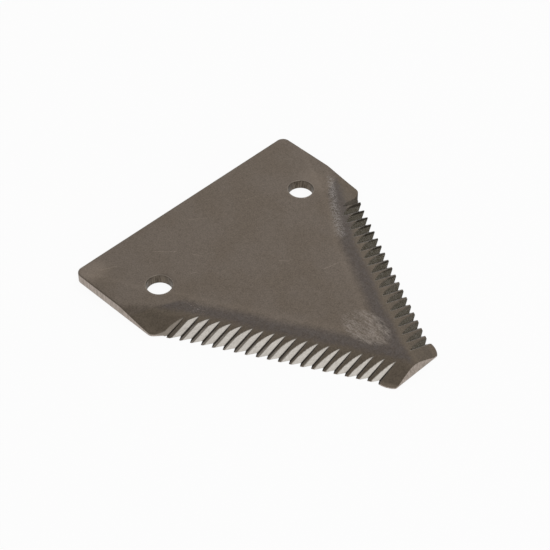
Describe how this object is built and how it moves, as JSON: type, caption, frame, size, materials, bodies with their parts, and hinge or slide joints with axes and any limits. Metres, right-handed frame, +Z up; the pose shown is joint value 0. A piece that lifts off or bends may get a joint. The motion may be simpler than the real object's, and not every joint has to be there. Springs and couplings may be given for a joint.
{
  "type": "serrated knife section",
  "caption": "Flat steel cutting blade for a mower knife bar: square heel with two rivet holes, and two bevelled, serrated edges that taper to a blunt nose.",
  "frame": {"origin": "midway between the two rivet holes, on the flat underside that seats on the knife bar", "axes": "+X across the section from hole to hole, +Y from the heel towards the nose, +Z up out of the bevelled and serrated face"},
  "size_m": [0.076, 0.0833, 0.0026],
  "materials": {
    "hardened_steel": "satin, heat tinted along the hardened edges"
  },
  "bodies": {
    "root": {"knife_section": "hardened_steel"}
  },
  "joints": []
}
